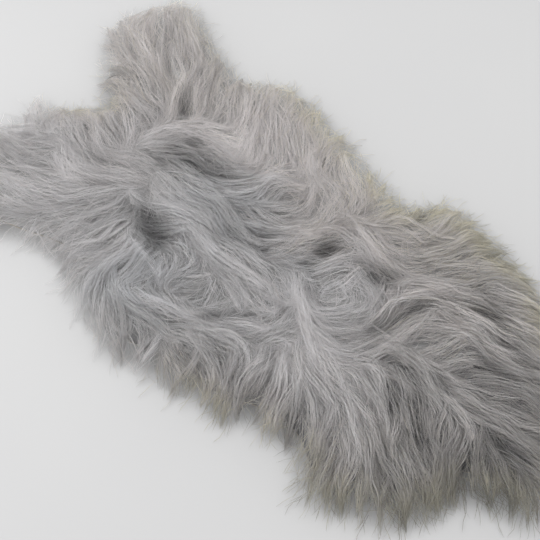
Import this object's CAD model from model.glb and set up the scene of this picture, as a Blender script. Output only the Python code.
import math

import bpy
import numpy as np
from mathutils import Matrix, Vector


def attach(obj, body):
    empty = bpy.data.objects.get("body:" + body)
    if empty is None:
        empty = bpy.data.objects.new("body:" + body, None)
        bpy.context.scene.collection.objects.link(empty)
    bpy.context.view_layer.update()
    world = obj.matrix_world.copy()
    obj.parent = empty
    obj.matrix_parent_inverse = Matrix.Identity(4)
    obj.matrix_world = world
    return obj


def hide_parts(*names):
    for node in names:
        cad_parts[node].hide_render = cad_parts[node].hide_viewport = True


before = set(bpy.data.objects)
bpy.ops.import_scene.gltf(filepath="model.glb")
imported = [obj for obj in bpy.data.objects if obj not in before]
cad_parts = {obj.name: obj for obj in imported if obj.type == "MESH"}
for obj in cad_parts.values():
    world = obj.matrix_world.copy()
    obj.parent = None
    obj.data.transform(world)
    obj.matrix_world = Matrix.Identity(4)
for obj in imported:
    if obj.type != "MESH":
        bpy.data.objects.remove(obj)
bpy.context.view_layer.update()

# Grey long-haired sheepskin rug, laid flat with its wool side up.
# The frame is in metres: +Z up, +Y along the pelt to its neck, +X across it, origin on the floor.
# Tables hold millimetres, and headings in degrees from +X towards +Y. They were read by eye from the photo.

scene = bpy.context.scene
rng = np.random.default_rng(21)
mm = 0.001

# the photograph's angle and framing
cameraSet = {
    "place": (-0.5735, -0.4807, 1.4501),
    "look": (0.3425, 0.2980, -0.8910),
    "view": 32.0,  # degrees across the square frame
}


def addObject(name, data):
    piece = bpy.data.objects.new(name, data)
    scene.collection.objects.link(piece)
    return piece


def makeCamera():
    data = bpy.data.cameras.new("photoCamera")
    data.sensor_fit = "HORIZONTAL"
    data.angle = math.radians(cameraSet["view"])
    camera = addObject("photoCamera", data)
    camera.location = cameraSet["place"]
    camera.rotation_euler = Vector(cameraSet["look"]).to_track_quat("-Z", "Y").to_euler()
    scene.camera = camera


makeCamera()
print("camera made")

# the line that the wool's tips reach, clockwise from the notch at the neck
woolLine = [
    (32, 460), (60, 499), (101, 533), (134, 569), (178, 589), (217, 583), (261, 564), (301, 542), (318, 530),
    (319, 482), (288, 431), (268, 370), (246, 314), (264, 279), (290, 245), (295, 200), (292, 147), (277, 98),
    (268, 51), (253, 1), (246, -50), (231, -96), (251, -119), (283, -150), (290, -183), (286, -229),
    (277, -273), (267, -306), (258, -340), (243, -375), (209, -426), (145, -487), (80, -541), (10, -582),
    (-57, -600), (-86, -594), (-99, -556), (-101, -528), (-116, -506), (-135, -477), (-174, -464),
    (-215, -434), (-240, -410), (-248, -385), (-263, -348), (-292, -297), (-246, -248), (-232, -223),
    (-245, -207), (-252, -178), (-242, -146), (-271, -131), (-278, -77), (-290, -14), (-297, 42), (-289, 64),
    (-319, 99), (-298, 140), (-290, 181), (-283, 223), (-255, 273), (-248, 307), (-259, 362), (-280, 404),
    (-307, 453), (-300, 515), (-265, 570), (-204, 600), (-141, 589), (-108, 565), (-75, 562), (-19, 576),
    (-31, 529), (11, 481),
]

# the hide's edge, in the same order
hideEdge = [
    (35, 425), (88, 488), (182, 545), (255, 512), (276, 462), (247, 372), (218, 300), (250, 226), (255, 138),
    (226, 8), (200, -104), (243, -160), (236, -232), (212, -318), (138, -415), (36, -502), (-38, -542),
    (-62, -502), (-95, -442), (-180, -388), (-212, -330), (-236, -278), (-208, -218), (-216, -142),
    (-242, -76), (-255, 40), (-270, 100), (-248, 198), (-214, 292), (-246, 398), (-264, 478), (-220, 540),
    (-158, 555), (-94, 526), (-42, 512), (-14, 465),
]
# the corners of the grids that fill it
legCorners = {
    "leftFore": (-225, 545), "rightFore": (262, 505), "rightHind": (212, -318), "leftHind": (-236, -278),
}

# how the wool is combed: x, y, heading of the tips
combStrokes = [
    # left front leg and neck
    (-150, 560, 100), (-135, 535, 120), (-165, 500, 100), (-60, 520, 35), (-50, 510, 50), (-50, 460, 75),
    (-20, 440, 70), (-200, 450, 115), (-230, 400, 125), (-130, 445, 135), (-115, 400, 68), (-80, 380, 95),
    (-60, 330, 110), (-30, 300, 112), (-160, 370, 120), (-200, 330, 137), (-170, 290, 155), (-230, 330, 155),
    (-250, 350, 165), (-230, 290, 175), (-150, 260, 175), (-220, 235, 148), (-255, 180, -140),
    (-270, 120, -135), (-290, 90, -150),
    # left ribs and loins
    (-200, 140, 175), (-220, 130, -65), (-197, 75, -70), (-180, 30, -68), (-150, 60, 147), (-130, 0, 145),
    (-150, -30, -60), (-140, -45, -68), (-120, -85, -45), (-98, -94, 10), (-80, -75, 55), (-110, -95, -20),
    (-100, 20, -95), (-65, 20, -92), (-68, 190, -75), (-66, 110, -98), (-70, 20, -88), (-68, -50, -95),
    (-60, -60, -97), (-195, -20, -60), (-230, -20, -110), (-280, 50, 180), (-180, -90, -160),
    (-200, -120, -155), (-220, -160, -168), (-200, -190, -165), (-230, -200, -150), (-130, -130, -150),
    (-110, -170, -100), (-150, -200, -115), (-280, -60, -170),
    # left hind leg, rump and tail
    (-200, -250, -145), (-250, -300, -150), (-160, -300, -132), (-120, -280, -110), (-200, -350, -135),
    (-240, -400, -138), (-150, -400, -125), (-80, -350, -135), (-20, -330, -105), (-60, -425, -155),
    (-100, -470, -140), (-60, -500, -105), (-100, -540, -130), (-130, -520, -150), (-20, -500, -85),
    (0, -420, -75), (30, -300, -55), (30, -400, -58), (20, -470, -75), (-40, -570, -100),
    # right hind leg
    (60, -260, -25), (60, -330, -40), (100, -300, -68), (120, -260, -55), (150, -240, -50), (200, -200, -25),
    (240, -190, -3), (240, -240, -30), (200, -300, -52), (220, -340, -60), (150, -350, -75), (160, -390, -65),
    (100, -400, -70), (60, -400, -60), (90, -340, -85), (50, -480, -75), (200, -400, -55),
    # right ribs and loins
    (105, 230, -92), (20, 330, -28), (50, 312, -35), (78, 288, -48), (98, 255, -70), (100, 205, -90),
    (50, 180, -70), (130, 180, 45), (200, 190, 32), (240, 200, 20), (240, 140, 30), (150, 140, 50),
    (180, 100, 35), (80, 85, -3), (110, 90, -75), (200, 70, 25), (230, 60, 5), (200, 10, 38), (150, 10, 80),
    (130, 0, 20), (100, -10, 15), (60, 0, -38), (35, -10, -42), (65, -30, -20), (10, 20, -60), (-5, 100, -90),
    (40, 60, -82), (220, -20, 50), (180, -50, 25), (210, -80, 0), (220, -120, 0), (160, -80, -30),
    (118, -85, -105), (102, -130, -112), (110, -150, -85), (150, -150, -60), (182, -150, -80),
    (190, -160, -40), (230, -170, 7), (20, -90, -35), (60, -110, -50), (-50, -158, -75), (-32, -187, -45),
    (-5, -199, -5), (30, -180, 45), (55, -145, 70), (-30, -72, -140), (-65, -115, -122),
    # right front leg and shoulder
    (20, 420, 72), (10, 380, 62), (40, 350, 65), (70, 370, 88), (60, 440, 85), (100, 450, 80), (130, 400, 60),
    (110, 330, 50), (150, 450, 60), (170, 500, 55), (120, 520, 68), (200, 500, 48), (250, 480, 45),
    (280, 490, 47), (270, 430, 40), (200, 400, 35), (200, 340, 42), (240, 340, 50), (160, 310, 38),
    (75, 495, 112), (98, 520, 105), (60, 470, 110), (225, 555, 42), (290, 520, 38), (220, 280, 20),
    (150, 270, 28), (200, 240, 25), (250, 230, 35), (60, 300, -40), (80, 250, -75), (30, 250, -70),
    (150, 210, 20), (5, 250, -85), (-30, 220, -95),
]

# crests and hollows: x, y, heading, length, width, rise (a hollow's is under 0), how much lighter
folds = [
    (55, 305, -42, 150, 40, 10, 0.1), (104, 215, -88, 160, 40, 11, 0.08), (40, 225, -75, 150, 45, -20, -0.3),
    (75, 255, -70, 50, 26, -12, -0.16), (-105, 195, -110, 110, 50, -24, -0.36),
    (-150, 190, -100, 130, 34, 11, 0.08), (-62, 150, -92, 200, 48, 10, 0.1), (-68, 20, -90, 180, 44, 9, 0.1),
    (115, 322, 45, 70, 22, -12, -0.18), (-130, 375, 70, 120, 34, 9, 0.1), (-160, 2, -35, 60, 16, -13, -0.24),
    (-200, 85, -68, 170, 30, 9, 0.09), (62, -57, -20, 52, 26, -26, -0.42), (45, -18, -32, 110, 30, 11, 0.1),
    (18, -55, -30, 26, 16, -12, -0.16), (-45, -85, -130, 100, 34, 9, 0.06),
    (80, -160, -62, 64, 26, -16, -0.22), (10, -215, -22, 70, 24, -14, -0.2),
    (75, -238, -26, 80, 24, -14, -0.22), (138, -332, -80, 74, 18, -13, -0.24),
    (110, -390, -64, 70, 16, -10, -0.16), (-90, -305, -130, 80, 26, -13, -0.2),
    (-90, -368, -142, 80, 18, -10, -0.15), (-105, -210, -104, 170, 40, 9, 0.06),
    (215, -145, 0, 50, 22, -12, -0.2), (-250, -150, 170, 60, 24, -12, -0.22),
    (-35, 80, -90, 70, 34, -9, -0.18), (5, 38, -62, 66, 16, -10, -0.22), (160, 70, 32, 120, 36, 8, 0.05),
    (110, -115, -108, 100, 20, 9, 0.14), (-130, -72, -66, 60, 14, 7, 0.1), (0, -150, -90, 60, 50, 8, 0.04),
    (-10, -350, -95, 130, 40, 8, 0.04), (-190, -310, -140, 150, 40, 8, 0.03),
    (92, -345, -84, 110, 30, 9, 0.04), (170, 480, 58, 150, 44, 8, 0.06), (-200, 420, 120, 160, 46, 8, 0.06),
    (-70, 530, 45, 100, 34, 7, 0.04), (-55, -115, -107, 150, 30, 1, 0.14), (-150, -135, 153, 150, 50, 6, 0.1),
    (110, 200, -50, 90, 40, 6, 0.08), (95, -387, -80, 60, 20, 7, 0.1), (104, -235, -30, 100, 30, 7, 0.1),
    (-99, -283, -125, 120, 40, 6, 0.08), (-150, -386, -110, 70, 30, 6, 0.1),
    (-43, -327, -125, 95, 16, -9, -0.14), (-11, -348, -108, 65, 14, -8, -0.14),
    (152, -341, -87, 60, 16, -9, -0.18), (-110, -500, -72, 90, 20, -10, -0.24),
    (-34, -495, -91, 110, 16, -9, -0.14), (62, -391, -83, 80, 14, -8, -0.14),
]

# the wool's colour by region: x, y, lightness, warmth of the grey, then cream and olive towards the rim
regions = [
    (-200, 560, 0.62, 0.4, 0, 0), (-240, 420, 0.58, 0.3, 0.05, 0), (-100, 460, 0.66, 0.4, 0.1, 0),
    (10, 420, 0.58, 0.5, 0.5, 0.3), (110, 500, 0.58, 1, 0.1, 0), (190, 540, 0.64, 1, 0.05, 0),
    (260, 450, 0.56, 0.9, 0.25, 0), (190, 360, 0.62, 1, 0.15, 0), (0, 300, 0.64, 0.5, 0.05, 0),
    (-200, 250, 0.58, 0.3, 0.05, 0), (-280, 100, 0.38, 0, 0.1, 0.25), (-230, 130, 0.46, -0.3, 0, 0),
    (-120, 60, 0.48, 0.2, 0, 0), (30, 100, 0.44, 0, 0, 0), (160, 160, 0.76, 0.8, 0.1, 0),
    (260, 120, 0.67, 0.9, 0.55, 0.12), (215, -90, 0.65, 1, 0.75, 0.25), (130, -40, 0.66, 1, 0.1, 0),
    (0, -100, 0.52, 0.2, 0, 0), (-100, -170, 0.68, 0.4, 0, 0), (-130, -60, 0.54, 0.3, 0, 0),
    (-270, -60, 0.24, 0.4, 0.1, 0.6), (-250, -190, 0.26, 0.4, 0.15, 0.5), (-150, -260, 0.4, 0.5, 0, 0),
    (-270, -310, 0.06, 0.8, 0.45, 0.45), (-140, -420, -0.07, 0.9, 0.4, 0.4), (-40, -350, 0.31, 0.8, 0.05, 0),
    (100, -250, 0.46, 0.9, 0.05, 0), (240, -260, 0.42, 1, 0.95, 0.45), (190, -360, 0.32, 0.9, 0.45, 0.35),
    (60, -420, 0.18, 0.9, 0.15, 0.15), (-60, -540, -0.06, 0.8, 0.45, 0.55),
]

# tresses that stand out: half their width, how much lighter they are, and their line from root to tip
tresses = [
    (9, 0.1, [(-145, 350), (-105, 440)]),
    (10, 0.1, [(-235, 160), (-205, 100), (-190, 50), (-175, 15)]),
    (9, 0.12, [(-150, -20), (-130, -70), (-110, -95), (-85, -90), (-75, -60)]),
    (16, 0.08, [(-75, 220), (-60, 160), (-75, 60), (-65, -20), (-70, -80)]),
    (12, 0.14, [(-5, 335), (45, 321), (82, 273), (91, 225), (84, 178), (79, 142)]),
    (9, 0.1, [(2, 371), (45, 355), (64, 322)]),
    (9, 0.16, [(-103, 246), (-132, 229), (-154, 195), (-154, 156), (-159, 124), (-181, 102), (-196, 96)]),
    (7, 0.12, [(181, 200), (158, 170), (134, 137)]),
    (8, 0.12, [(197, 181), (174, 130), (139, 73), (107, 26)]),
    (8, 0.12, [(89, 130), (58, 92), (53, 57), (79, 33), (108, 24)]),
    (7, 0.12, [(-98, 44), (-112, 5), (-126, -30)]),
    (9, 0.1, [(10, 127), (3, 74), (23, 31), (43, -12), (73, -46)]),
    (13, 0.18, [(-17, -48), (-45, -72), (-75, -112), (-95, -142), (-119, -184), (-134, -210)]),
    (9, 0.14, [(-138, -154), (-150, -182), (-162, -219), (-172, -241)]),
    (7, 0.12, [(-34, -113), (1, -98), (25, -107), (24, -129), (-2, -140)]),
    (9, 0.12, [(-55, -140), (-45, -175), (-20, -198), (10, -200), (50, -160), (60, -130)]),
    (9, 0.1, [(20, 5), (50, -25), (80, -35)]),
    (6, 0.2, [(125, -60), (110, -110), (95, -150)]),
    (12, 0.1, [(46, -168), (81, -218), (142, -268), (187, -330)]),
    (8, 0.16, [(83, -337), (87, -386), (96, -422)]),
    (9, 0.1, [(-5, -201), (-1, -232), (-6, -270), (-14, -296)]),
    (9, 0.1, [(-87, -280), (-123, -321), (-147, -358), (-158, -377)]),
    (10, 0.1, [(-94, -204), (-127, -251), (-159, -297), (-196, -333)]),
    (8, 0.1, [(-10, -352), (-24, -394), (-46, -442), (-60, -489)]),
]

# rim tufts that stand out: x, y of the tip, and how much longer than the wool beside them
rimTufts = [
    (309, 530, 15), (265, 560, 16), (221, 578, 14), (158, 573, 16), (134, 567, 10), (105, 540, 14),
    (65, 502, 14), (316, 476, 8), (306, 449, 8), (294, 420, 10), (256, 310, 12), (47, 467, 4), (250, 288, 4),
    (275, 261, 6), (297, 213, 4), (297, 191, 4), (294, 148, 7), (288, 82, 7), (270, 33, 6), (253, -14, 5),
    (248, -73, 8), (237, -120, 7), (-292, -306, 8), (-268, -326, 5), (-239, -410, 9), (-212, -436, 9),
    (-159, -456, 6), (-127, -489, 8), (-110, -520, 6), (-61, -553, 8), (-35, 569, 12),
]


def travelledOf(line):
    return np.concatenate([[0.0], np.cumsum(np.hypot(*np.diff(line, axis=0).T))])


def placesAt(stations, marks, line):
    # the line's points are at the marks; between them it is straight
    return np.stack([np.interp(stations, marks, column) for column in line.T], axis=-1)


def closedCurve(points, count):
    # periodic cubic through the points, sampled evenly by arc length; metres out
    points = np.array(points, float) * mm
    steps = np.linspace(0.0, 1.0, 12, endpoint=False)[:, None]
    before, start, end, after = (np.roll(points, shift, axis=0)[:, None, :] for shift in (1, 0, -1, -2))
    squared = 2.0 * before - 5.0 * start + 4.0 * end - after
    cubed = 3.0 * start - before - 3.0 * end + after
    curve = 0.5 * (2.0 * start + (end - before) * steps + squared * steps**2 + cubed * steps**3)
    curve = curve.reshape(-1, 2)
    closed = np.vstack([curve, curve[:1]])
    travelled = travelledOf(closed)
    return placesAt(np.linspace(0.0, travelled[-1], count, endpoint=False), travelled, closed)


def insideDepth(points, line):
    # distance to the closed line, over 0 inside it
    depth = np.empty(len(points))
    start, end = line, np.roll(line, -1, axis=0)
    step = end - start
    for first in range(0, len(points), 4000):
        some = points[first:first + 4000, None, :]
        share = np.clip(((some - start) * step).sum(-1) / (step * step).sum(-1), 0.0, 1.0)
        away = np.hypot(*(some - start - share[..., None] * step).transpose(2, 0, 1)).min(1)
        over = (start[:, 1] > some[..., 1]) != (end[:, 1] > some[..., 1])
        climb = np.where(step[:, 1] == 0, 1e-9, step[:, 1])
        crossAt = start[:, 0] + step[:, 0] * (some[..., 1] - start[:, 1]) / climb
        inside = (over & (some[..., 0] < crossAt)).sum(1) % 2 == 1
        depth[first:first + 4000] = np.where(inside, away, -away)
    return depth


def mix(start, end, share):
    return start * (1 - share) + end * share


class Field:
    # values on an even grid over the pelt, read between its points
    low = np.array([-0.40, -0.68])
    step = 0.003
    shape = (268, 454)

    def __init__(self, values):
        self.values = np.asarray(values).reshape(*self.shape, -1)

    @classmethod
    def places(cls):
        return (np.stack(np.mgrid[0:cls.shape[0], 0:cls.shape[1]], -1) * cls.step + cls.low).reshape(-1, 2)

    def __call__(self, points):
        spot = (np.asarray(points)[..., :2] - self.low) / self.step
        cell = np.clip(np.floor(spot).astype(int), 0, np.array(self.shape) - 2)
        part = np.clip(spot - cell, 0.0, 1.0)[..., None]
        i, j, v = cell[..., 0], cell[..., 1], self.values
        near, far = (mix(v[i, row], v[i + 1, row], part[..., 0, :]) for row in (j, j + 1))
        out = mix(near, far, part[..., 1, :])
        return out[..., 0] if v.shape[-1] == 1 else out


def smooth(value):
    value = np.clip(value, 0.0, 1.0)
    return value * value * (3.0 - 2.0 * value)


def softNoise(points, size, waves=14):
    # sines in random directions, of wavelengths about size; about -1 to 1
    angle = rng.uniform(0, 2 * np.pi, waves)
    number = 2 * np.pi / (size * rng.uniform(0.6, 1.7, waves))
    phase = rng.uniform(0, 2 * np.pi, waves)
    across = np.stack([np.cos(angle), np.sin(angle)]) * number
    return np.sin(points @ across + phase).sum(-1) / math.sqrt(waves) / 1.4


def unit(headings):
    angles = np.radians(headings)
    return np.stack([np.cos(angles), np.sin(angles)], axis=-1)


def rotated(vectors, angle):
    x, y = vectors[..., 0], vectors[..., 1]
    cosine, sine = np.cos(angle), np.sin(angle)
    return np.stack([x * cosine - y * sine, x * sine + y * cosine], -1)


def leftOf(vectors):
    return np.stack([-vectors[..., 1], vectors[..., 0]], -1)


def ofLengthOne(vectors):
    return vectors / np.maximum(np.linalg.norm(vectors, axis=-1, keepdims=True), 1e-9)


def blendRows(points, rows, values, reach):
    # mean of the rows' values, each weighted by (distance² + reach²) to the power -3
    out = np.empty((len(points), values.shape[1]))
    for first in range(0, len(points), 8000):
        some = points[first:first + 8000]
        away = ((some[:, None, :] - rows[None]) ** 2).sum(-1)
        weight = 1.0 / (away + reach * reach) ** 3
        out[first:first + 8000] = weight @ values / weight.sum(1, keepdims=True)
    return out


grid = Field.places()
tipLine = closedCurve(woolLine, 420)
tipDepth = Field(insideDepth(grid, tipLine))
hideLine = closedCurve(hideEdge, 400)
hideDepth = Field(insideDepth(grid, hideLine))

combSet = {
    "reach": 0.024,  # strokes blend into each other over this
    "turns": ((11.0, 0.11), (8.0, 0.055)),  # degrees that the comb wanders, and over what length
    "outwards": 0.9, "from": 0.035,  # near the tips' line the wool turns outwards, from this far in
}


def makeComb():
    strokes = np.array(combStrokes, float)
    combed = blendRows(grid, strokes[:, :2] * mm, unit(strokes[:, 2]), combSet["reach"])
    turned = sum(np.radians(most) * softNoise(grid, size) for most, size in combSet["turns"])
    outward = -np.stack(np.gradient(tipDepth.values[..., 0], Field.step), -1).reshape(-1, 2)
    share = 1.0 - smooth((tipDepth(grid) + 0.01) / (combSet["from"] + 0.01))
    combed = ofLengthOne(rotated(combed, turned)) + combSet["outwards"] * outward * share[:, None]
    return Field(ofLengthOne(combed))


comb = makeComb()
regionRows = np.array(regions, float)
tints = Field(blendRows(grid, regionRows[:, :2] * mm, regionRows[:, 2:], 0.05))

fleeceSet = {
    "loft": 0.046,  # height of the wool's top in the middle
    "rimHeight": 0.007,
    "shoulder": 0.085,  # how far in from the tips' line it reaches its loft
    "round": 0.72,
    "lumps": 0.0045,
    "beyond": (0.002, 0.005, 0.025),  # height far outside the line, how much more at it, over what length
    "top": 0.0745,  # nothing stands over this
    "crestLight": 2.3, "hollowDark": 2.0,  # how strongly the folds' last column counts
}


def makeRelief():
    # height = rim height + (loft - rim height) · (1 - (1 - depth / shoulder)²)^round, with lumps and folds
    # a fold = rise · (1 - lengthways²)^1.5 · e^(-sideways²), lengthways and sideways over its size
    depth = tipDepth(grid)
    inside = np.clip(depth / fleeceSet["shoulder"], 0.0, 1.0)
    rounded = np.clip(1.0 - (1.0 - inside) ** 2, 0.0, 1.0) ** fleeceSet["round"]
    height = fleeceSet["rimHeight"] + (fleeceSet["loft"] - fleeceSet["rimHeight"]) * rounded
    height = height + fleeceSet["lumps"] * rounded * (softNoise(grid, 0.12) + 0.7 * softNoise(grid, 0.06))
    light = np.zeros(len(grid))
    hollow = np.zeros(len(grid))
    for x, y, heading, length, width, rise, lighter in folds:
        ahead = unit(heading)
        offset = grid - np.array([x, y]) * mm
        lengthways = offset @ ahead / (length * mm / 2.0)
        sideways = offset @ leftOf(ahead) / (width * mm / 2.0)
        shape = np.clip(1.0 - (lengthways / 1.25) ** 2, 0.0, 1.0) ** 1.5 * np.exp(-(sideways / 1.15) ** 2)
        height = height + rise * mm * shape * rounded
        light = light + fleeceSet["crestLight" if lighter > 0 else "hollowDark"] * lighter * shape
        hollow = hollow + max(-rise, 0.0) * mm * shape * rounded
    least, more, over = fleeceSet["beyond"]
    beyond = least + more * np.clip(1.0 + depth / over, 0.0, 1.0)
    height = np.where(depth < 0, beyond, np.maximum(height, fleeceSet["rimHeight"]))
    return Field(height), Field(light), Field(hollow)


relief, foldLight, hollowDepth = makeRelief()

tuftSet = {
    "apart": (0.016, 0.034),  # between neighbouring tufts along the tips' line
    "pull": 0.72,  # how far the wool is drawn to its tuft's middle
    "deep": 0.050,  # how far in from the line this begins
    "halfWidth": 0.012, "slim": 0.12,  # the smaller slim, the longer the tufts
    "reach": 0.008,  # how much tufts differ in length
    "notch": 0.025,  # how much shorter the wool between them is
    "lift": 0.010,  # how high the highest stand off the rim
    "tone": 0.08,  # how much tufts differ in lightness
    "parting": 0.34,  # how much darker it is between them
}


def makeTufts():
    # the rim's wool ends in pointed tufts: a place has a pull in x and y, lightness, cream, reach and lift
    # its tuft is the one with the least sideways² + slim · lengthways²
    around = np.hypot(*(np.roll(tipLine, -1, axis=0) - tipLine).T).sum()
    spots = np.cumsum(rng.uniform(*tuftSet["apart"], int(around / tuftSet["apart"][0])))
    spots = spots[spots < around - tuftSet["apart"][0]] / around * len(tipLine)
    line = np.vstack([tipLine, tipLine[:1]])
    tips = placesAt(spots, np.arange(len(line)), line)
    chosen = np.array(rimTufts, float) * mm
    apart = np.hypot(*(tips[:, None, :] - chosen[None, :, :2]).transpose(2, 0, 1)).min(1)
    tips = np.concatenate([tips[apart > 0.016], chosen[:, :2]])
    ahead = comb(tips)
    across = leftOf(ahead)
    lighter = rng.normal(0.0, tuftSet["tone"], len(tips))
    creamier = rng.uniform(0.4, 1.6, len(tips))
    longer = np.minimum(rng.normal(0.0, tuftSet["reach"], len(tips)), 0.009)
    longer[-len(chosen):] = chosen[:, 2]
    higher = tuftSet["lift"] * rng.random(len(tips))
    depth = tipDepth(grid)
    near = np.flatnonzero(np.abs(depth) < tuftSet["deep"] + 0.02)
    out = np.zeros((len(grid), 6))
    out[:, 3] = 1.0
    for first in range(0, len(near), 6000):
        some = near[first:first + 6000]
        offset = grid[some][:, None, :] - tips[None]
        sideways = (offset * across).sum(-1)
        lengthways = (offset * ahead).sum(-1)
        best = (sideways**2 + tuftSet["slim"] * lengthways**2).argmin(1)
        off = sideways[np.arange(len(some)), best]
        share = 1.0 - smooth((depth[some] + 0.010) / (tuftSet["deep"] + 0.010))
        edge = np.clip((off / tuftSet["halfWidth"]) ** 2, 0.0, 1.3) * share
        out[some, :2] = -across[best] * (off * share * tuftSet["pull"])[:, None]
        out[some, 2] = lighter[best] * share - tuftSet["parting"] * edge
        out[some, 3] = 1.0 + (creamier[best] - 1.0) * share
        out[some, 4] = longer[best] * share - tuftSet["notch"] * edge
        out[some, 5] = higher[best] * np.clip(share - 0.7 * edge, 0.0, 1.0)
    return Field(out)


tufts = makeTufts()
print("wool fields made")


def toneAt(places):
    # olive wool grows darker towards the tips' line
    share = tints(places)
    rim = 1.0 - smooth((tipDepth(places) + 0.004) / 0.034)
    return share[..., 0] + foldLight(places) + tufts(places)[..., 2] - 0.5 * share[..., 3] * rim


class Signal:
    # a shader socket that takes part in sums
    def __init__(self, tree, socket):
        self.tree, self.socket = tree, socket

    def maths(self, operation, other):
        node = self.tree.nodes.new("ShaderNodeMath")
        node.operation = operation
        plug(self.tree, node.inputs[0], self)
        plug(self.tree, node.inputs[1], other)
        return Signal(self.tree, node.outputs[0])

    def __add__(self, other):
        return self.maths("ADD", other)

    def __sub__(self, other):
        return self.maths("SUBTRACT", other)

    def __mul__(self, other):
        return self.maths("MULTIPLY", other)


def plug(tree, slot, value):
    if isinstance(value, Signal):
        tree.links.new(value.socket, slot)
    else:
        slot.default_value = value


class Finish:
    # a material round one Principled BSDF; constants go on the shader's own sockets
    def __init__(self, name, **constants):
        self.material = bpy.data.materials.new(name)
        self.material.use_nodes = True
        self.tree = self.material.node_tree
        self.shader = self.tree.nodes["Principled BSDF"]
        for socket, value in constants.items():
            self.shader.inputs[socket.replace("_", " ")].default_value = value

    def put(self, kind, output=0, **given):
        # a node: stops are its ramp's, other names in small letters its settings, the rest its inputs
        node = self.tree.nodes.new("ShaderNode" + kind)
        for key, value in given.items():
            if key == "stops":
                while len(node.color_ramp.elements) < len(value):
                    node.color_ramp.elements.new(1.0)
                for element, (place, colour) in zip(node.color_ramp.elements, value):
                    element.position, element.color = place, (*colour, 1.0)
            elif key.islower():
                setattr(node, key, value)
            else:
                plug(self.tree, node.inputs[key], value)
        return Signal(self.tree, node.outputs[output])

    def feed(self, socket, signal):
        self.tree.links.new(signal.socket, self.shader.inputs[socket])


woolSet = {
    # the map's width runs from dark to light and its height through the tints
    "darkest": 0.20, "lightest": 1.28,
    "tints": [(0.0, (0.705, 0.718, 0.745)), (0.2, (0.735, 0.720, 0.730)), (0.45, (0.762, 0.714, 0.700)),
              (0.72, (0.800, 0.738, 0.580)), (1.0, (0.650, 0.600, 0.420))],
    "fibres": 0.10,  # how much the fibres within a strand differ
    "roughness": 0.72,
}


def makeWool():
    wool = Finish("wool", Sheen_Weight=0.2, Sheen_Roughness=0.6, Specular_IOR_Level=0.12,
                  Subsurface_Weight=0.7, Subsurface_Radius=(1.0, 1.0, 1.0), Subsurface_Scale=0.006)
    uv = wool.put("UVMap", uv_map="OFBake")
    u, v = (wool.put("SeparateXYZ", axis, Vector=uv) for axis in (0, 1))
    tint = wool.put("ValToRGB", stops=woolSet["tints"], Fac=v)
    stretched = wool.put("CombineXYZ", X=u * 150.0, Y=v * 12.0)
    fibre = wool.put("TexNoise", noise_dimensions="2D", Vector=stretched, Scale=1.0, Detail=2.0,
                     Roughness=0.6)
    light = u * (woolSet["lightest"] - woolSet["darkest"]) + woolSet["darkest"]
    light = light * ((fibre - 0.5) * (2.0 * woolSet["fibres"]) + 1.0)
    wool.feed("Base Color", wool.put("VectorMath", operation="SCALE", Vector=tint, Scale=light))
    wool.feed("Roughness", (fibre - 0.5) * 0.3 + woolSet["roughness"])
    wool.feed("Normal", wool.put("Bump", Strength=0.4, Distance=0.0006, Height=fibre))
    return wool.material


def makeDown():
    # the matted wool down among the roots, seen in the partings
    down = Finish("down", Sheen_Weight=0.1, Specular_IOR_Level=0.2)
    place = down.put("TexCoord", 3)
    patches = down.put("TexNoise", Vector=place, Scale=28.0, Detail=4.0, Roughness=0.6)
    stretched = down.put("Mapping", Vector=place, Scale=(1.0, 0.25, 1.0))
    hairs = down.put("TexNoise", Vector=stretched, Scale=520.0, Detail=3.0, Roughness=0.65)
    tone = down.put("Attribute", 2, attribute_name="tone")
    light = (patches * 0.5 + hairs * 0.6 - 0.55) * 0.5 + tone
    greys = [(0.0, (0.13, 0.13, 0.135)), (0.45, (0.36, 0.355, 0.355)), (1.0, (0.72, 0.70, 0.69))]
    down.feed("Base Color", down.put("ValToRGB", stops=greys, Fac=light))
    down.feed("Roughness", hairs * 0.2 + 0.72)
    down.feed("Normal", down.put("Bump", Strength=0.8, Distance=0.002, Height=hairs))
    return down.material


def makeLeather():
    # tanned flesh side: suede nap, pores and cloudy patches
    leather = Finish("suede", Sheen_Weight=0.15, Specular_IOR_Level=0.25)
    place = leather.put("TexCoord", 3)
    clouds = leather.put("TexNoise", Vector=place, Scale=7.0, Detail=5.0, Roughness=0.55)
    nap = leather.put("TexNoise", Vector=place, Scale=900.0, Detail=3.0, Roughness=0.7)
    pores = leather.put("TexVoronoi", 0, Vector=place, Scale=260.0)
    light = clouds * 0.75 + nap * 0.25
    browns = [(0.3, (0.42, 0.34, 0.25)), (0.55, (0.58, 0.50, 0.39)), (0.75, (0.70, 0.63, 0.52))]
    leather.feed("Base Color", leather.put("ValToRGB", stops=browns, Fac=light))
    leather.feed("Roughness", nap * 0.2 + 0.7)
    bump = leather.put("Bump", Strength=0.5, Distance=0.0008, Height=nap * 0.6 + pores * 0.8)
    leather.feed("Normal", bump)
    return leather.material


woolFinish, downFinish, suedeFinish = makeWool(), makeDown(), makeLeather()
print("materials made")


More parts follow.
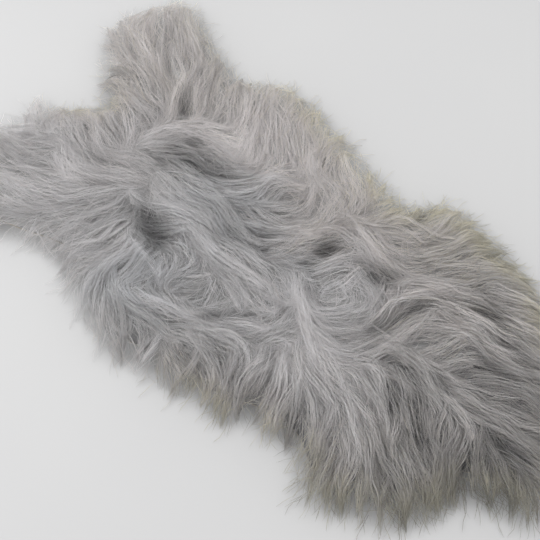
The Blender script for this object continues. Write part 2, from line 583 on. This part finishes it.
def putMesh(name, points, quads, triangles, uvs, finish):
    # the quads come before the triangles, and the uvs are per loop in that order
    mesh = bpy.data.meshes.new(name)
    mesh.vertices.add(len(points))
    mesh.vertices.foreach_set("co", np.ascontiguousarray(points, dtype=np.float32).ravel())
    loops = np.concatenate([quads.ravel(), triangles.ravel()])
    starts = np.concatenate([np.arange(len(quads)) * 4, len(quads) * 4 + np.arange(len(triangles)) * 3])
    mesh.loops.add(len(loops))
    mesh.loops.foreach_set("vertex_index", loops.astype(np.int32))
    mesh.polygons.add(len(starts))
    mesh.polygons.foreach_set("loop_start", starts.astype(np.int32))
    mesh.update(calc_edges=True)
    layer = mesh.uv_layers.new(name="OFBake")
    layer.data.foreach_set("uv", np.ascontiguousarray(uvs, dtype=np.float32).ravel())
    mesh.polygons.foreach_set("use_smooth", np.ones(len(starts), bool))
    mesh.materials.append(finish)
    piece = addObject(name, mesh)
    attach(piece, "root")
    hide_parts("sheepskin")
    return piece


def peltGrid(line, across, along, relaxSteps=260):
    # a grid with its corners in the four legs and its inside relaxed to its neighbours' mean
    def nearest(name):
        return int(np.hypot(*(line - np.array(legCorners[name]) * mm).T).argmin())

    def stretch(first, last, count):
        first, last = nearest(first), nearest(last)
        last += len(line) if last <= first else 0
        side = line[np.arange(first, last + 1) % len(line)]
        travelled = travelledOf(side)
        return placesAt(np.linspace(0.0, travelled[-1], count + 1), travelled, side)

    front, right = stretch("leftFore", "rightFore", across), stretch("rightFore", "rightHind", along)
    rear, left = stretch("rightHind", "leftHind", across)[::-1], stretch("leftHind", "leftFore", along)[::-1]
    u = np.linspace(0, 1, across + 1)[None, :, None]
    v = np.linspace(0, 1, along + 1)[:, None, None]
    inner = mix(left[:, None], right[:, None], u)
    inner = inner + (front - inner[0]) * (1 - v) + (rear - inner[-1]) * v
    for _ in range(relaxSteps):
        inner[1:-1, 1:-1] = (inner[:-2, 1:-1] + inner[2:, 1:-1] + inner[1:-1, :-2] + inner[1:-1, 2:]) / 4.0
    return inner


def withHeight(flat, z):
    return np.concatenate([flat, np.broadcast_to(z, flat.shape[:-1])[..., None]], -1)


def closedSheet(name, flat, top, bottom, finish):
    # top and bottom heights over one grid of places, joined all round its border
    rows, columns = flat.shape[:2]
    count = rows * columns
    index = np.arange(count).reshape(rows, columns)
    corners = index[:-1, :-1], index[1:, :-1], index[1:, 1:], index[:-1, 1:]
    topQuads = np.stack(corners, -1).reshape(-1, 4)  # rows run from front to rear, so this order faces up
    border = np.concatenate([index[0, :-1], index[:-1, -1], index[-1, :0:-1], index[:0:-1, 0]])
    following = np.roll(border, -1)
    sides = np.stack([border, following, following + count, border + count], -1)
    quads = np.concatenate([topQuads, topQuads[:, ::-1] + count, sides])
    points = np.concatenate([withHeight(flat, top), withHeight(flat, bottom)]).reshape(-1, 3)
    spread = (points[:, :2] - Field.low) / 1.4
    uv = np.where(np.arange(2 * count)[:, None] < count, spread, spread + (0.5, 0.0))
    uvs = uv[quads]
    uvs[-len(sides):, 2:] = uvs[-len(sides):, 1::-1] + 0.004
    return putMesh(name, points, quads, np.empty((0, 3), int), uvs.reshape(-1, 2), finish)


hideSet = {"thickness": 0.0025, "across": 40, "along": 72}


def makeHide():
    flat = peltGrid(hideLine, hideSet["across"], hideSet["along"])
    hide = closedSheet("hide", flat, hideSet["thickness"], 0.0, suedeFinish)
    following = np.roll(hideLine, -1, axis=0)
    area = abs((hideLine[:, 0] * following[:, 1] - hideLine[:, 1] * following[:, 0]).sum()) / 2
    size = hideLine.max(0) - hideLine.min(0)
    return hide, tuple(float(x) for x in size), float(area)


hide, hideSize, hideArea = makeHide()
print("hide made, %.2f by %.2f m, %.3f square metres" % (*hideSize, hideArea))

downSet = {
    "share": 0.84,  # of the wool's height
    "floor": 0.0032, "least": 0.0006,  # its lowest top, at the hide's edge, and its thickness there
    "rough": 0.0012, "roughLength": 0.012,
    "inwards": 0.03,  # it rises from the hide's edge over this
    "across": 64, "along": 112,
}


def makeDownPad():
    # a share of the fleece's height, and down to the hide at the border
    flat = peltGrid(closedCurve(hideEdge, 900), downSet["across"], downSet["along"])
    rough = softNoise(flat.reshape(-1, 2), downSet["roughLength"]).reshape(flat.shape[:2])
    top = relief(flat) * downSet["share"] + downSet["rough"] * rough
    inward = smooth(hideDepth(flat) / downSet["inwards"])
    top = downSet["floor"] + 0.001 + (np.maximum(top, 0.006) - downSet["floor"]) * (0.25 + 0.75 * inward)
    pad = closedSheet("downPad", flat, top, downSet["floor"] - downSet["least"], downFinish)
    tone = pad.data.attributes.new("tone", "FLOAT", "POINT")
    tone.data.foreach_set("value", np.tile(np.clip(toneAt(flat), 0.0, 1.0).ravel(), 2).astype(np.float32))
    return pad


downPad = makeDownPad()
print("down made")

lockSet = {
    "pitch": 0.0240,  # between neighbouring locks
    "length": 0.150, "lengthSpread": 0.25,
    "behind": 0.5,  # share of the length that lies behind a lock's middle
    "halfWidth": 0.0165,
    "lift": 0.0095,  # how much a lock's middle stands over its sides
    "lean": 10.0,  # degrees that a lock strays from the comb
    "layer": 0.0058,  # how much locks lie over and under each other
    "tone": (0.14, 0.18, 0.08),  # how much locks differ in lightness, in dark, middling and light regions
    "farthest": 0.334,  # no lock or stray hair goes on past this to either side
    "swayLength": 0.07,
    "dark": 0.32, "darkToLight": 0.33,  # a region is dark up to this tone, and light from their sum on
}


def walk(places, stride, steps, lean, bend, sway, phase):
    # path from each place along the comb, keeping part of its last direction, so it never doubles back
    # it turns off the comb by its lean, a bend that grows on the way and a sway
    paths = [places]
    ahead = comb(places)
    pace = np.ones(len(places))  # falls to 0 where the comb turns against the path, as at a parting
    for k in range(steps):
        swayed = sway * np.cos(phase + np.abs(stride) * (k + 0.5) * 2 * np.pi / lockSet["swayLength"])
        angle = lean + bend * (k + 0.5) / steps + swayed
        wanted = comb(paths[-1])
        pace = np.minimum(pace, smooth(((wanted * ahead).sum(1) - 0.2) / 0.5))
        ahead = ofLengthOne(wanted + ahead)
        paths.append(paths[-1] + rotated(ahead, angle) * (stride * pace)[:, None])
    return np.stack(paths, 1)


def alongPath(paths, share):
    # a share over 1 runs on past the path's end
    steps = paths.shape[1] - 1
    spot = share * steps
    cell = np.clip(np.floor(spot).astype(int), 0, steps - 1)
    part = (spot - cell)[..., None]
    row = np.arange(len(paths)).reshape(-1, *([1] * (spot.ndim - 1)))
    return mix(paths[row, cell], paths[row, cell + 1], part)


def insideShare(paths, outside, always, back):
    # how much of each path is inside: it keeps the first always stations, and ends back steps before the
    # first one outside
    outside = outside | (np.abs(paths[..., 0]) > lockSet["farthest"])
    outside[:, :always] = False
    return np.where(outside.any(1), (outside.argmax(1) - back) / (paths.shape[1] - 1), 1.0)


def lockPaths(middles, length):
    # a path through each middle, from root to tip, and its share up to the tips' line or its tuft's reach
    count = len(middles)
    half = 8
    lean = np.radians(lockSet["lean"]) * rng.normal(0, 1, count)
    bend = rng.normal(0, 0.22, count)
    sway = rng.uniform(0.06, 0.28, count)
    phase = rng.uniform(0, 2 * np.pi, count)
    ahead = walk(middles, length * (1 - lockSet["behind"]) / half, half, lean, bend, sway, phase)
    behind = walk(middles, -length * lockSet["behind"] / half, half, lean, -bend, sway, phase)
    paths = np.concatenate([behind[:, :0:-1], ahead], 1)
    longer = np.maximum(tufts(paths)[..., 4], 0.0)
    outside = tipDepth(paths) + longer < (0.004 - 0.018 * rng.random(count) ** 1.5)[:, None]
    share = insideShare(paths, outside, 4, 0.4)
    return paths, share, length * share


def lockMiddles():
    # an even grid, each place moved at random within its cell
    pitch = lockSet["pitch"]
    spots = np.mgrid[-0.33:0.33:pitch, -0.61:0.61:pitch].reshape(2, -1).T
    spots = spots + rng.uniform(-0.5, 0.5, spots.shape) * pitch
    return spots[tipDepth(spots) > 0.008]


def frameOf(paths, share, s):
    # places and side directions at shares s of the used part of each path
    spot = s * share[:, None]
    centre = alongPath(paths, spot)
    before, after = np.maximum(spot - 0.04, 0.0), np.minimum(spot + 0.04, 1.0)
    ahead = ofLengthOne(alongPath(paths, after) - alongPath(paths, before))
    return centre, leftOf(ahead)


def settle(flat, depth):
    # the height at which a strand lies on the relief, a little lower inside the tips' line
    return relief(flat) - 0.003 * smooth(depth / 0.06)


def tubeFaces(count, rings, corners, across):
    # one tube's faces, repeated: quads between rings, a fan to the tip and one that caps the root
    # across says how far over its page each corner lies, the first one at both ends
    size = rings * corners + 1
    here = np.arange(corners)
    there = (here + 1) % corners
    k = np.arange(rings - 1)[:, None] * corners
    quads = np.stack([k + here, k + there, k + there + corners, k + here + corners], -1).reshape(-1, 4)
    last = (rings - 1) * corners
    fan = np.stack([last + here, last + there, np.full(corners, size - 1)], -1)
    cap = np.stack([np.zeros(corners - 2, int), here[2:], here[1:-1]], -1)
    low, high = across[:-1], across[1:]
    quadU = np.tile(np.stack([low, high, high, low], -1), (rings - 1, 1))
    quadV = np.stack([k, k, k + corners, k + corners], -1).repeat(corners, 1).reshape(-1, 4) / corners / rings
    top = np.full(corners, (rings - 1) / rings)
    triU = np.concatenate([np.stack([low, high, (low + high) / 2], -1), across[cap]])
    capV = np.tile([0.0, 0.01, 0.02], (corners - 2, 1))
    triV = np.concatenate([np.stack([top, top, np.ones(corners)], -1), capV])
    base = np.arange(count)[:, None, None] * size
    return quads[None] + base, np.concatenate([fan, cap])[None] + base, (quadU, quadV), (triU, triV)


tubeSet = {
    "tone": (0.25, 0.80),  # where tone 0 lies on the map's width, and how far a tone of 1 goes
    "across": (0.0, 0.34, 0.67, 1.0),  # the corners' places on a tube's own page of the map
    "page": 0.022, "spread": 0.01,  # how wide a page is, and how far tubes differ
    "lowest": 0.0006,
}


def makeTubes(name, middle, side, half, section, tone, tint):
    # three-sided tubes round the middle lines: to the sides by half, down and up by section · half
    # tone and tint at each station say where on the map a tube's colour is
    spread = rng.uniform(-tubeSet["spread"], tubeSet["spread"], len(middle))[:, None, None]
    sideways, upwards = side * half[..., None], half[..., None] * np.array([0.0, 0.0, 1.0])
    drop, rise = section
    left, right = middle - sideways - upwards * drop, middle + sideways - upwards * drop
    rings = np.stack([left, right, middle + upwards * rise], 2)[:, :-1]
    count, stations, corners = rings.shape[:3]
    points = np.concatenate([rings.reshape(count, -1, 3), middle[:, -1:]], 1).reshape(-1, 3)
    points[:, 2] = np.clip(points[:, 2], tubeSet["lowest"], fleeceSet["top"])
    across = np.array(tubeSet["across"])
    quads, triangles, quadMap, triangleMap = tubeFaces(count, stations, corners, across)
    uvs = []
    base, reach = tubeSet["tone"]
    for side, up in (quadMap, triangleMap):
        station = np.clip(np.rint(up * stations).astype(int), 0, stations)
        u = base + reach * tone[:, station] + tubeSet["page"] * side[None] + spread
        v = 0.02 + 0.94 * tint[:, station] + 0.012 * up[None]
        uvs.append(np.stack([np.clip(u, 0.002, 0.998), v], -1).reshape(-1, 2))
    quads, triangles = quads.reshape(-1, 4), triangles.reshape(-1, 3)
    return putMesh(name, points, quads, triangles, np.concatenate(uvs), woolFinish)


def tressPaths():
    # windows a lock long along each tress's smoothed line, 45 mm apart
    windows, half, lighter = [], [], []
    for width, light, line in tresses:
        corners = np.array(line, float) * mm
        travelled = travelledOf(corners)
        stations = np.linspace(0.0, travelled[-1], 60)
        curve = placesAt(stations, travelled, corners)
        for _ in range(60):
            curve[1:-1] = (curve[:-2] + 2 * curve[1:-1] + curve[2:]) / 4
        long = min(0.13, travelled[-1])
        for first in np.arange(0.0, travelled[-1] - long + 0.001, 0.045):
            windows.append(placesAt(np.linspace(first, first + long, 17), stations, curve))
            half.append(width * mm)
            lighter.append(light)
    return np.array(windows), np.array(half), np.array(lighter)


# the locks: paths, and what each is like
middles = lockMiddles()
lockLength = lockSet["length"] * (1.0 + lockSet["lengthSpread"] * rng.uniform(-1, 1, len(middles)))
paths, used, lockLength = lockPaths(middles, lockLength)
lockLayer = rng.normal(0.0, lockSet["layer"], len(middles))
lockHalf = lockSet["halfWidth"] * rng.uniform(0.7, 1.3, len(middles))
lockHalf = lockHalf * (0.72 + 0.28 * smooth(tipDepth(middles) / 0.09))
lockTone = rng.normal(0.0, 1.0, len(middles))
tressPath, tressHalf, tressTone = tressPaths()
tressCount = len(tressPath)
tressLength = np.hypot(*np.diff(tressPath, axis=1).T).sum(0)
tressLayer = rng.uniform(0.004, 0.006, tressCount)
middles, paths, used, lockLength, lockLayer, lockHalf = map(np.concatenate, (
    (middles, tressPath[:, 8]), (paths, tressPath), (used, np.ones(tressCount)),
    (lockLength, tressLength), (lockLayer, tressLayer), (lockHalf, tressHalf)))
lockCount = len(middles)
lockPlaceTone = toneAt(middles)
# dark wool is coarser: 0 in light regions, 1 in dark ones
lockCoarse = 1.0 - smooth((lockPlaceTone - lockSet["dark"]) / lockSet["darkToLight"])
lockTone = lockTone * np.interp(lockPlaceTone[:len(lockTone)], (0.15, 0.45, 0.70), lockSet["tone"])
lockTone = np.concatenate([lockTone, 1.5 * tressTone])
lockLayer = lockLayer * (0.4 + 0.6 * lockCoarse)
lockRise = lockSet["lift"] * rng.uniform(0.6, 1.4, lockCount)
lockRise = lockRise * np.minimum(lockHalf / lockSet["halfWidth"], 1.2)
print("locks", lockCount, "of them in tresses", tressCount)


def tintAt(flat, stations, noise):
    # the region's grey, and towards the tip and the tips' line its cream or olive
    share = tints(flat[:, -1])
    rim = 0.12 + 0.88 * (1.0 - smooth((tipDepth(flat) + 0.005) / 0.085))
    cream = (share[:, 2] * 0.75 + share[:, 3] * 0.9)[:, None] * rim * tufts(flat)[..., 3]
    base = 0.12 + 0.30 * share[:, 1] + noise
    return np.clip(base[:, None] + cream * (0.3 + 0.7 * smooth(stations)), 0.0, 1.0)


strandSet = {
    "perLock": 50, "wisps": 9,  # strands of a lock, and the wisps they draw together in
    "stations": 4,
    "start": (-0.05, 0.70),  # where on its lock a strand begins; one under 0 begins at the root
    "share": (0.32, 0.56), "least": 0.20,  # a strand's length over its lock's
    "spread": 0.36,  # how far strands stray from their wisp, over their lock's half width
    "narrower": 0.35,  # how much narrower a lock's tip is
    "sunk": 0.0025,  # how deep a root lies under the wool behind it
    "filled": 0.85,  # how far down the rim's wool reaches, over its height
    "lowest": 0.0012,
    "bridge": 0.55,  # how far tresses stay up over a hollow, over its depth
    "section": (0.15, 0.4),  # how far a strand reaches down and up, over its half width
    # from here on a pair's first value is for light regions, its second for dark ones
    "halfWidth": (0.00020, 0.00033),
    "gather": (0.0, 0.65),  # how far a wisp's strands draw together at their tips
    "wave": (0.0007, 0.0014),
    "splay": (0.0008, 0.0014),
    "uneven": (0.0001, 0.0004),  # how much strands and wisps lie over and under each other
    "wispTone": (0.006, 0.022), "tone": 0.02,  # how much wisps and strands differ in lightness
    "root": (0.0, 0.16),  # how much darker the root is
    "tip": 0.04,  # how much lighter the tip is
    "edge": 0.26,  # how much darker a lock's edges are
    "along": 0.16,  # how much lighter a lock grows from root to tip
}
wispCount = lockCount * strandSet["wisps"]
wispPlace = rng.uniform(-0.95, 0.95, wispCount)
wispLayer = rng.uniform(-1.6, 2.4, wispCount)
wispTone = rng.normal(0.0, 1.0, wispCount)
wispPitch = 2 * np.pi / rng.uniform(0.05, 0.09, wispCount)
wispPhase = rng.uniform(0, 2 * np.pi, wispCount)


def makeStrands(name, chosen):
    # strands along their locks' paths, gathered in wisps
    lock = np.repeat(chosen, strandSet["perLock"])
    count = len(lock)
    wisp = lock * strandSet["wisps"] + rng.integers(0, strandSet["wisps"], count)
    start = rng.uniform(*strandSet["start"], count)
    end = start + rng.uniform(*strandSet["share"], count) * np.clip(0.13 / lockLength[lock], 1.0, 1.6)
    end = np.minimum(end, 1.0 + rng.normal(0.0, 0.05, count))
    start = np.clip(np.minimum(start, end - strandSet["least"]), 0.0, None)[:, None]
    end = end[:, None]
    stations = np.linspace(0, 1, strandSet["stations"])[None]
    coarse = lockCoarse[lock][:, None]

    def byRegion(name):
        light, dark = strandSet[name]
        return light + (dark - light) * coarse

    gathered = 1.0 - byRegion("gather") * smooth((stations - 0.45) / 0.55)
    spread = wispPlace[wisp][:, None] + rng.normal(0, strandSet["spread"], count)[:, None] * gathered
    splay = byRegion("splay") * rng.normal(0, 1, count)[:, None] * stations**2
    long = lockLength[lock][:, None]

    def layOut(end):
        s = start + (end - start) * stations
        centre, side = frameOf(paths[lock], used[lock], s)
        sideways = spread * (1.0 - strandSet["narrower"] * smooth((s - 0.4) / 0.6))
        turn = s * long * wispPitch[wisp][:, None] + wispPhase[wisp][:, None]
        wave = byRegion("wave") * np.sin(turn)
        flat = centre + side * (sideways * lockHalf[lock][:, None] + wave + splay)[..., None]
        return s, side, sideways, flat

    # a strand that ends past its tuft's limit is cut back, to no less than 0.12 of its lock
    uncut = rng.uniform(-0.013, -0.005, count)
    for _ in range(3):
        last = layOut(end)[-1][:, -1]
        past = np.clip(uncut - tufts(last)[..., 4] - tipDepth(last), 0.0, 0.06)[:, None]
        end = np.maximum(end - 1.15 * past / long, start + 0.12)
    s, side, sideways, flat = layOut(end)
    flat = flat + tufts(flat)[..., :2]
    depth = tipDepth(flat)
    uneven = byRegion("uneven")[:, 0] * (wispLayer[wisp] + rng.uniform(-0.7, 1.2, count))
    layer = (lockLayer[lock] + uneven)[:, None]
    arch = 1.0 - np.clip(sideways**2, 0.0, 1.3)
    over = (layer + lockRise[lock][:, None] * arch) * smooth(depth / 0.05)
    sunk = strandSet["sunk"] * (1.0 - smooth(stations / 0.34)) * smooth(depth / 0.03)
    bridging = (lock >= lockCount - tressCount)[:, None]  # tresses lie across hollows and stay light there
    lift = tufts(flat)[..., 5] + strandSet["bridge"] * bridging * hollowDepth(flat)
    # the rim's wool is thick down to the floor
    under = strandSet["filled"] * rng.random(count)[:, None] ** 2 * (1.0 - smooth(depth / 0.03))
    z = np.maximum((settle(flat, depth) + over - sunk + lift) * (1.0 - under), strandSet["lowest"])
    half = byRegion("halfWidth") * rng.uniform(0.7, 1.4, count)[:, None]
    half = half * (0.75 + 0.35 * np.sin(np.pi * stations))
    roll = rng.normal(0.0, 0.2, count)[:, None]
    rolled = withHeight(side * np.cos(roll)[..., None], np.sin(roll))
    tone = -0.75 * bridging * np.minimum(foldLight(flat), 0.0)
    tone = tone + toneAt(flat) + (lockTone[lock] + rng.normal(0.0, strandSet["tone"], count))[:, None]
    tone = tone + byRegion("wispTone") * wispTone[wisp][:, None]
    tone = tone - byRegion("root") * (1.0 - smooth(stations / 0.4)) + strandSet["tip"] * stations
    tone = tone + strandSet["edge"] * (0.35 - np.clip(sideways**2, 0.0, 1.2)) + strandSet["along"] * (s - 0.6)
    tint = tintAt(flat, stations, rng.normal(0.0, 0.07, count))
    return makeTubes(name, withHeight(flat, z), rolled, half, strandSet["section"], tone, tint)


straySet = {
    "count": 3200, "stations": 7,
    "length": (0.07, 0.17),
    "lean": 24.0,  # degrees off the comb
    "halfWidth": 0.00036,
    "over": 0.0030, "overInside": 0.004,  # how far they stand over the wool, and more away from the rim
    "lowest": 0.0015,
    "section": (0.24, 0.6),  # as the strands'
    "tone": 0.22,  # how much lighter than the wool
}


def makeStrays():
    # single light hairs that wander over the locks
    count = straySet["count"]
    places = rng.uniform((-0.32, -0.60), (0.32, 0.60), (count * 2, 2))
    places = places[tipDepth(places) > 0.004][:count]
    count = len(places)
    long = rng.uniform(*straySet["length"], count)
    lean = np.radians(straySet["lean"]) * rng.normal(0, 1, count)
    bend = rng.normal(0, 0.7, count)
    sway, phase = rng.uniform(0.1, 0.35, count), rng.uniform(0, 6.3, count)
    path = walk(places, long / 10, 10, lean, bend, sway, phase)
    outside = tipDepth(path) < rng.uniform(-0.014, 0.004, count)[:, None]
    stations = np.linspace(0, 1, straySet["stations"])[None] * np.ones((count, 1))
    flat, side = frameOf(path, insideShare(path, outside, 3, 0.0), stations)
    depth = tipDepth(flat)
    over = straySet["over"] * rng.uniform(0.2, 1.6, count)[:, None] * np.sin(np.pi * stations) ** 0.7
    z = settle(flat, depth) + over + straySet["overInside"] * smooth(depth / 0.05)
    z = np.maximum(z, straySet["lowest"])
    half = straySet["halfWidth"] * rng.uniform(0.7, 1.3, count)[:, None]
    half = half * (0.8 + 0.3 * np.sin(np.pi * stations))
    tone = toneAt(flat) + straySet["tone"] * rng.uniform(0.2, 1.3, count)[:, None]
    tint = tintAt(flat, stations, rng.normal(0.06, 0.07, count))
    level = withHeight(side, 0.0)
    return makeTubes("strayHairs", withHeight(flat, z), level, half, straySet["section"], tone, tint)


# the wool is cut into bands across the pelt, each of the locks under its y and over the last one's
bands = {"Rump": -0.33, "Haunches": -0.14, "Loins": 0.04, "Ribs": 0.20, "Shoulders": 0.36, "Legs": 9.0}
lowest = -9.0
for bandName, highest in bands.items():
    chosen = np.flatnonzero((middles[:, 1] >= lowest) & (middles[:, 1] < highest))
    makeStrands("wool" + bandName, chosen)
    lowest = highest
    print(bandName, "made,", len(chosen), "locks")
makeStrays()
print("stray hairs made")

lightSet = {"sky": 1.12, "key": 20.0, "fill": 4.0}  # the lamps' in watts


def makeFloor():
    mesh = bpy.data.meshes.new("floor")
    mesh.from_pydata([(-6, -6, 0), (6, -6, 0), (6, 6, 0), (-6, 6, 0)], [], [(0, 1, 2, 3)])
    paper = Finish("paleFloor", Roughness=0.85, Specular_IOR_Level=0.2)
    place = paper.put("TexCoord", 3)
    mottle = paper.put("TexNoise", Vector=place, Scale=2.5, Detail=2.0)
    greys = [(0.0, (0.50, 0.50, 0.505)), (1.0, (0.53, 0.53, 0.53))]
    paper.feed("Base Color", paper.put("ValToRGB", stops=greys, Fac=mottle))
    mesh.materials.append(paper.material)
    addObject("floor", mesh)


def softBox(name, place, aim, size, power):
    data = bpy.data.lights.new(name, "AREA")
    data.shape = "RECTANGLE"
    data.size, data.size_y = size
    data.energy = power
    lamp = addObject(name, data)
    lamp.location = place
    lamp.rotation_euler = (Vector(aim) - Vector(place)).to_track_quat("-Z", "Y").to_euler()


makeFloor()
world = bpy.data.worlds.new("studio")
world.use_nodes = True
background = world.node_tree.nodes["Background"]
background.inputs["Color"].default_value = (1.0, 1.0, 1.0, 1.0)
background.inputs["Strength"].default_value = lightSet["sky"]
scene.world = world
softBox("keyLight", (-0.9, 1.4, 1.7), (0, 0.1, 0), (1.8, 1.4), lightSet["key"])
softBox("fillLight", (1.6, -0.6, 1.6), (0, 0, 0), (1.6, 1.6), lightSet["fill"])
scene.view_settings.view_transform = "Standard"
print("lights and floor made")
